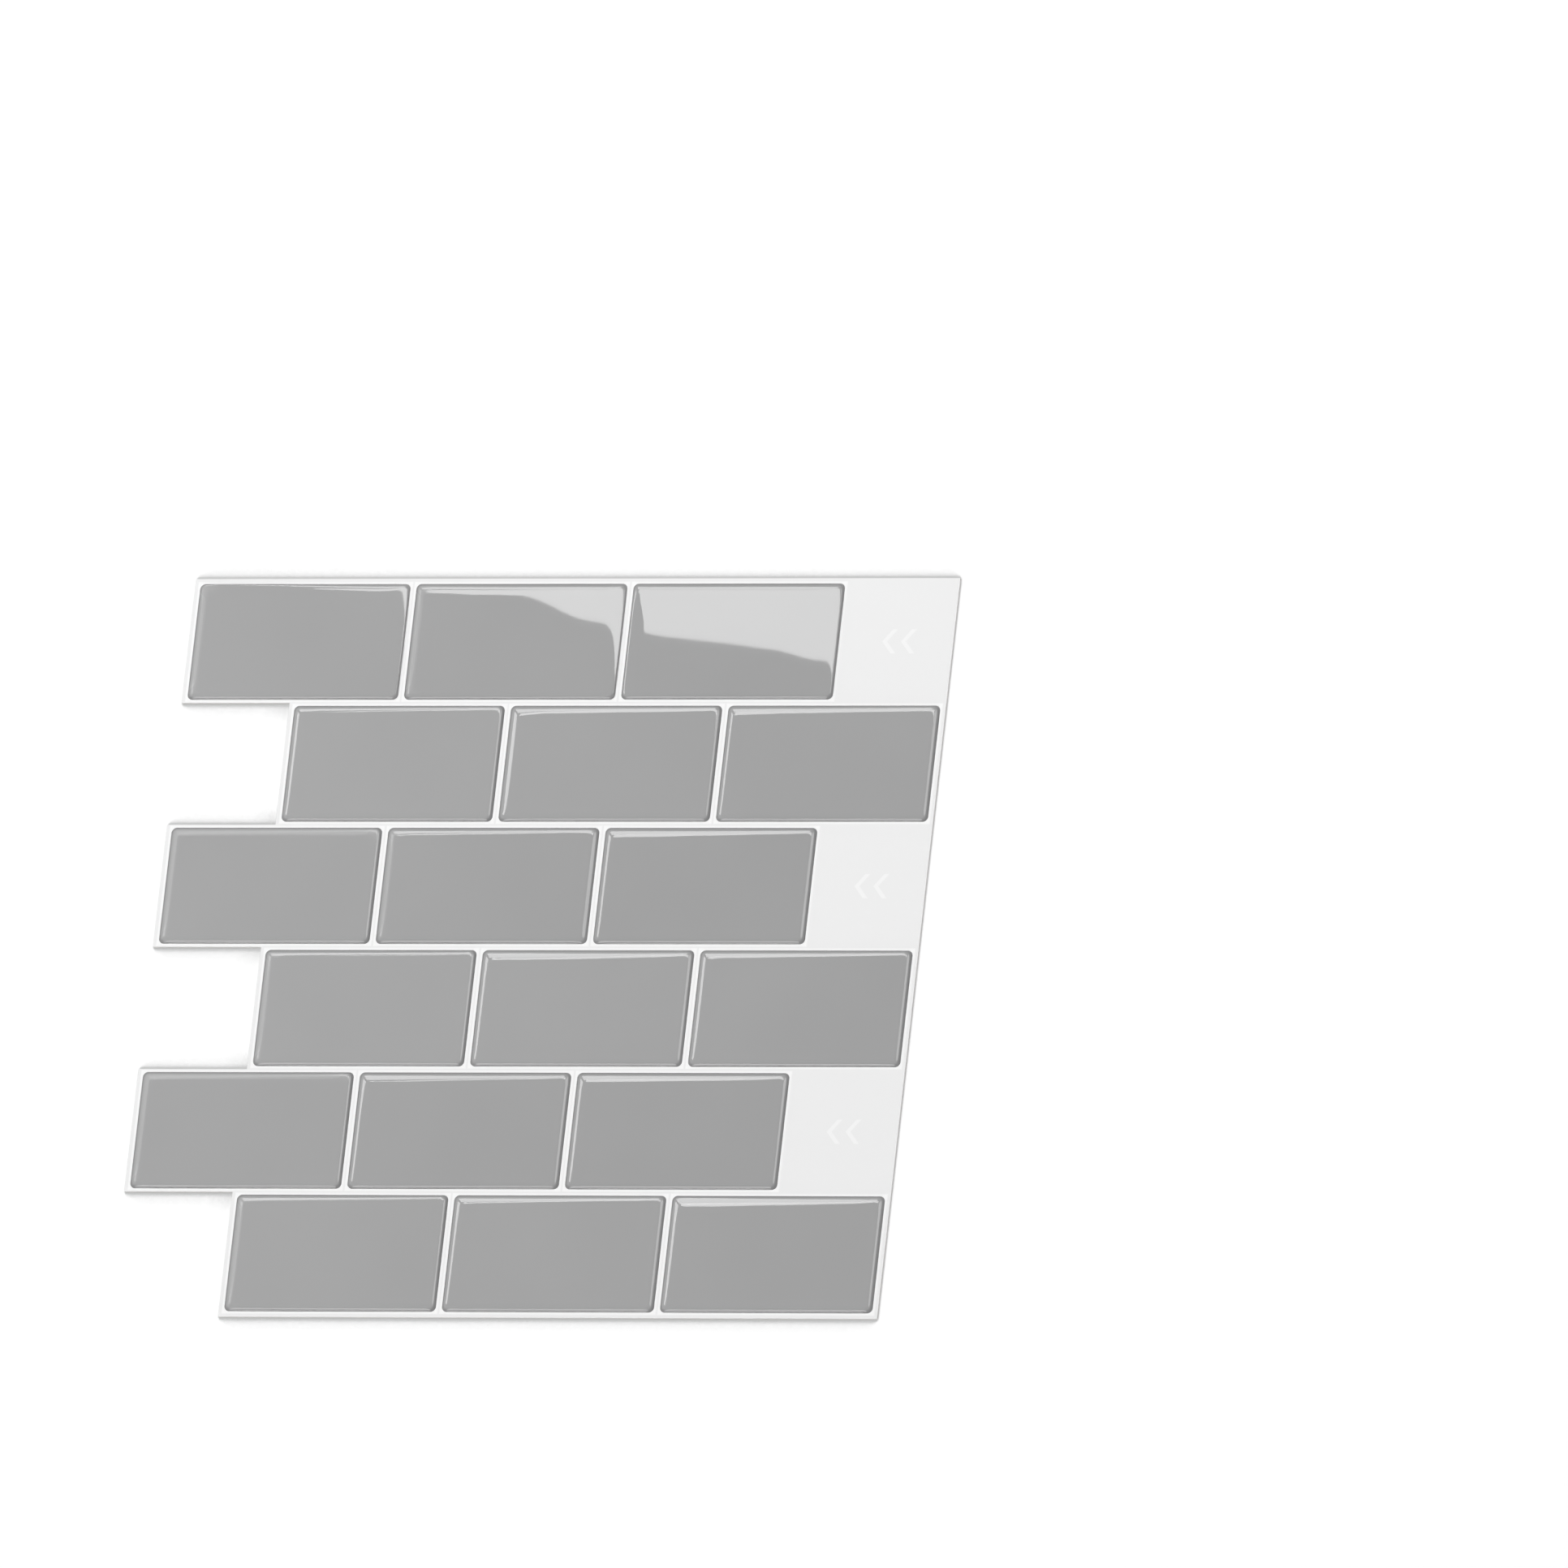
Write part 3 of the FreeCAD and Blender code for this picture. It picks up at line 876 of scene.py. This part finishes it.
class SetStage(bpy.types.Operator):
    """Set up the camera, the pale floor and the soft lights"""

    bl_idname = "tilesheet.set_stage"
    bl_label = "Set stage"

    FLOOR_SIDE = 80.0
    FLOOR_LEVEL = -0.01 * MM
    FLOOR_INSET = 1 * MM  # how far inside the sheet's outline the floor is open
    FLOOR_GREY = 0.9
    # What the camera sees of the floor: part matt, part glowing, both dimmed where the sheet shades it.
    SEEN_GREY, SEEN_GLOW = 0.45, 0.59
    SHADE_CURVE, SHADE_DEPTH, SHADE_LIMIT = 0.35, 1.25, 0.55
    AIR_TILT, AIR_REACH, AIR_SAMPLES = 0.7, 10 * MM, 12  # how far aside and how far it looks, in how many rays

    # The panel that the first row mirrors, and the place on the sheet where its near left corner shows.
    MIRROR_HEIGHT, MIRROR_SIZE, MIRROR_RADIANCE = 2.0, (0.8, 0.46), 7.4
    MIRROR_CORNER = (-0.129, 0.1522)
    MIRROR_SKEW = -0.133
    # The other panels: size, radiance, and their azimuth and elevation from the sheet in degrees.
    PANEL_DISTANCE = 4.5
    PANELS = (
        ("left_panel", (0.98, 1.35), 6.2, 155, 44),
        ("back_panel", (1.5, 1.65), 6.3, 119, 43.2),
        ("right_panel", (1.9, 2.0), 3.6, 46, 63),
        ("front_panel", (1.8, 1.8), 4.8, -114, 42),
        ("front_strip", (0.75, 0.9), 7.0, -111, 14),
    )

    # The even light is brighter near the horizon, more so to the right and in front, and below the floor.
    HORIZON, NEAR, UNDER = (0.05, 0.4), (-0.6, 1.2), (0.0, 0.05)
    HORIZON_GLOW, NEAR_GLOW, UNDER_GLOW = 0.4, 1.6, 0.5

    def execute(self, context):
        settings = context.scene.tile_stage
        self.add_camera(context, settings)
        self.add_floor(context)
        self.add_lights(settings)
        self.light_world(context, settings)
        context.scene.view_settings.view_transform = "Standard"
        return {"FINISHED"}

    def add_camera(self, context, settings):
        right, up, back, shrink = leaning_view(settings.lean)
        metre = settings.scale / MM / shrink  # pixels for each metre square to the view
        middle = Vector((0, 0, FILM_HIGH.z))
        shift_right = (settings.frame_side / 2 - settings.centre[0]) / metre
        shift_up = (settings.centre[1] - settings.frame_side / 2) / metre
        lens = bpy.data.cameras.new("camera")
        lens.sensor_width = 36.0
        lens.lens = lens.sensor_width * settings.distance * metre / settings.frame_side
        lens.clip_end = 10 * settings.distance
        camera = bpy.data.objects.new("camera", lens)
        context.collection.objects.link(camera)
        turn = Matrix((right, up, back)).transposed().to_4x4()
        place = middle + back * settings.distance + right * shift_right + up * shift_up
        camera.matrix_world = Matrix.Translation(place) @ turn
        context.scene.camera = camera

    def footprint(self):
        """A little inside the sheet's outline, where the floor is open so that the liner shows."""
        inside = self.FLOOR_INSET
        left, right = FILM_LOW.x + inside, FILM_HIGH.x - inside
        low, high = FILM_LOW.y + inside, FILM_HIGH.y - inside
        points = [(right, low), (right, high), (left, high)]
        for row in range(1, ROWS):
            below = gel_box(row, 1)[0].y - JOINT / 2
            ends = (left, left + SHIFT) if row % 2 else (left + SHIFT, left)
            level = below + inside if row % 2 else below - inside
            points += [(x, level) for x in ends]
        return [*points, (left + SHIFT, low)]

    def add_floor(self, context):
        side = self.FLOOR_SIDE / 2
        rim = [(-side, -side), (side, -side), (side, side), (-side, side)]
        loops = [[Vector((x, y, self.FLOOR_LEVEL)) for x, y in loop] for loop in (rim, self.footprint())]
        mesh = bpy.data.meshes.new("floor")
        mesh.from_pydata([*loops[0], *loops[1]], [], tessellate_polygon(loops))
        floor = bpy.data.objects.new("floor", mesh)
        context.collection.objects.link(floor)
        material = bpy.data.materials.new("floor_white")
        graph = Graph(material)
        # The more open way counts, so the floor is shaded below and above the sheet and not at its sides.
        covered = 1.0 - self.open_air(graph, -1).most(self.open_air(graph, 1))
        shade = (1.0 - covered**self.SHADE_CURVE * self.SHADE_DEPTH).most(self.SHADE_LIMIT)
        matt = graph.node("ShaderNodeBsdfDiffuse", values={"Color": grey(self.FLOOR_GREY)})
        dimmed = [graph.mix(shade, grey(0.0), grey(level)) for level in (self.SEEN_GREY, self.SEEN_GLOW)]
        faint = graph.node("ShaderNodeBsdfDiffuse", values={"Color": dimmed[0]})
        glow = graph.node("ShaderNodeEmission", values={"Color": dimmed[1], "Strength": 1.0})
        both = graph.node("ShaderNodeAddShader", values={0: faint.outputs[0], 1: glow.outputs[0]})
        ways = {0: self.seen(graph), 1: matt.outputs[0], 2: both.outputs[0]}
        shown = graph.node("ShaderNodeMixShader", values=ways)
        graph.node("ShaderNodeOutputMaterial", values={"Surface": shown.outputs[0]})
        paint(floor, material)

    def open_air(self, graph, side):
        """How open the floor is towards the left (-1) or the right (1), and up."""
        tilted = graph.node("ShaderNodeCombineXYZ", values={"X": self.AIR_TILT * side, "Z": self.AIR_TILT})
        values = {"Distance": self.AIR_REACH, "Normal": tilted.outputs[0]}
        made = graph.node("ShaderNodeAmbientOcclusion", {"samples": self.AIR_SAMPLES}, values)
        return Signal(graph, made.outputs["AO"])

    def add_lights(self, settings):
        """A large panel that the first row mirrors, and five soft ones round the sheet."""
        back = leaning_view(settings.lean)[2]
        mirrored = Vector((-back.x / back.z, -back.y / back.z, 1)) * self.MIRROR_HEIGHT
        along = Vector((1, self.MIRROR_SKEW, 0)).normalized()
        across = Vector((-along.y, along.x, 0))
        width, depth = self.MIRROR_SIZE
        corner = Vector((*self.MIRROR_CORNER, FILM_HIGH.z)) + mirrored
        middle = corner + along * width / 2 + across * depth / 2
        panel = add_softbox("panel", self.MIRROR_SIZE, self.MIRROR_RADIANCE)
        turn = Matrix((along, across, (0, 0, 1))).transposed().to_4x4()
        panel.matrix_world = Matrix.Translation(middle) @ turn
        for name, size, radiance, azimuth, elevation in self.PANELS:
            stand_off(add_softbox(name, size, radiance), azimuth, elevation, self.PANEL_DISTANCE)

    def light_world(self, context, settings):
        """Even light, brighter towards the horizon, and plain white for the camera."""
        world = bpy.data.worlds.new("studio")
        context.scene.world = world
        graph = Graph(world)
        right, back, up = graph.place("Generated")
        low = 1.0 - abs(up).ramp(*self.HORIZON)
        near = (right - back).ramp(*self.NEAR)
        under = (0.0 - up).ramp(*self.UNDER)
        strength = settings.ambient * (1.0 + low * (self.HORIZON_GLOW + near * self.NEAR_GLOW))
        strength = strength + under * self.UNDER_GLOW
        even = graph.node("ShaderNodeBackground", values={"Color": grey(1.0), "Strength": strength})
        white = graph.node("ShaderNodeBackground", values={"Color": grey(1.0), "Strength": 1.0})
        ways = {0: self.seen(graph), 1: even.outputs[0], 2: white.outputs[0]}
        shown = graph.node("ShaderNodeMixShader", values=ways)
        graph.node("ShaderNodeOutputWorld", values={"Surface": shown.outputs[0]})

    def seen(self, graph):
        """1 for what the camera sees, straight, in a gloss or through something clear."""
        path = graph.node("ShaderNodeLightPath").outputs
        rays = [Signal(graph, path[f"Is {kind} Ray"]) for kind in ("Camera", "Glossy", "Transmission")]
        return rays[0].most(rays[1]).most(rays[2])


class TileSheetPanel(bpy.types.Panel):
    """Steps that dress the tile sheet"""

    bl_idname = "VIEW3D_PT_tile_sheet"
    bl_label = "Tile sheet"
    bl_space_type = "VIEW_3D"
    bl_region_type = "UI"
    bl_category = "Tile sheet"

    def draw(self, context):
        for group, operator in STEPS:
            box = self.layout.box()
            settings = getattr(context.scene, group)
            for setting in settings.__annotations__:
                box.prop(settings, setting)
            box.operator(operator.bl_idname)


STEPS = (
    ("tile_gel", CastGelTiles),
    ("tile_film", FinishFilm),
    ("tile_backing", FinishBacking),
    ("tile_stage", SetStage),
)
GROUPS = {
    "tile_gel": GelSettings,
    "tile_film": FilmSettings,
    "tile_backing": BackingSettings,
    "tile_stage": StageSettings,
}
CLASSES = (*GROUPS.values(), *(operator for _, operator in STEPS), TileSheetPanel)


def register():
    for cls in CLASSES:
        bpy.utils.register_class(cls)
    for name, group in GROUPS.items():
        setattr(bpy.types.Scene, name, bpy.props.PointerProperty(type=group))


def unregister():
    for name in GROUPS:
        delattr(bpy.types.Scene, name)
    for cls in reversed(CLASSES):
        bpy.utils.unregister_class(cls)


def main():
    register()
    bpy.ops.tilesheet.cast_gel_tiles()
    bpy.ops.tilesheet.finish_film()
    bpy.ops.tilesheet.finish_backing()
    bpy.ops.tilesheet.set_stage()


if __name__ == "__main__":
    main()
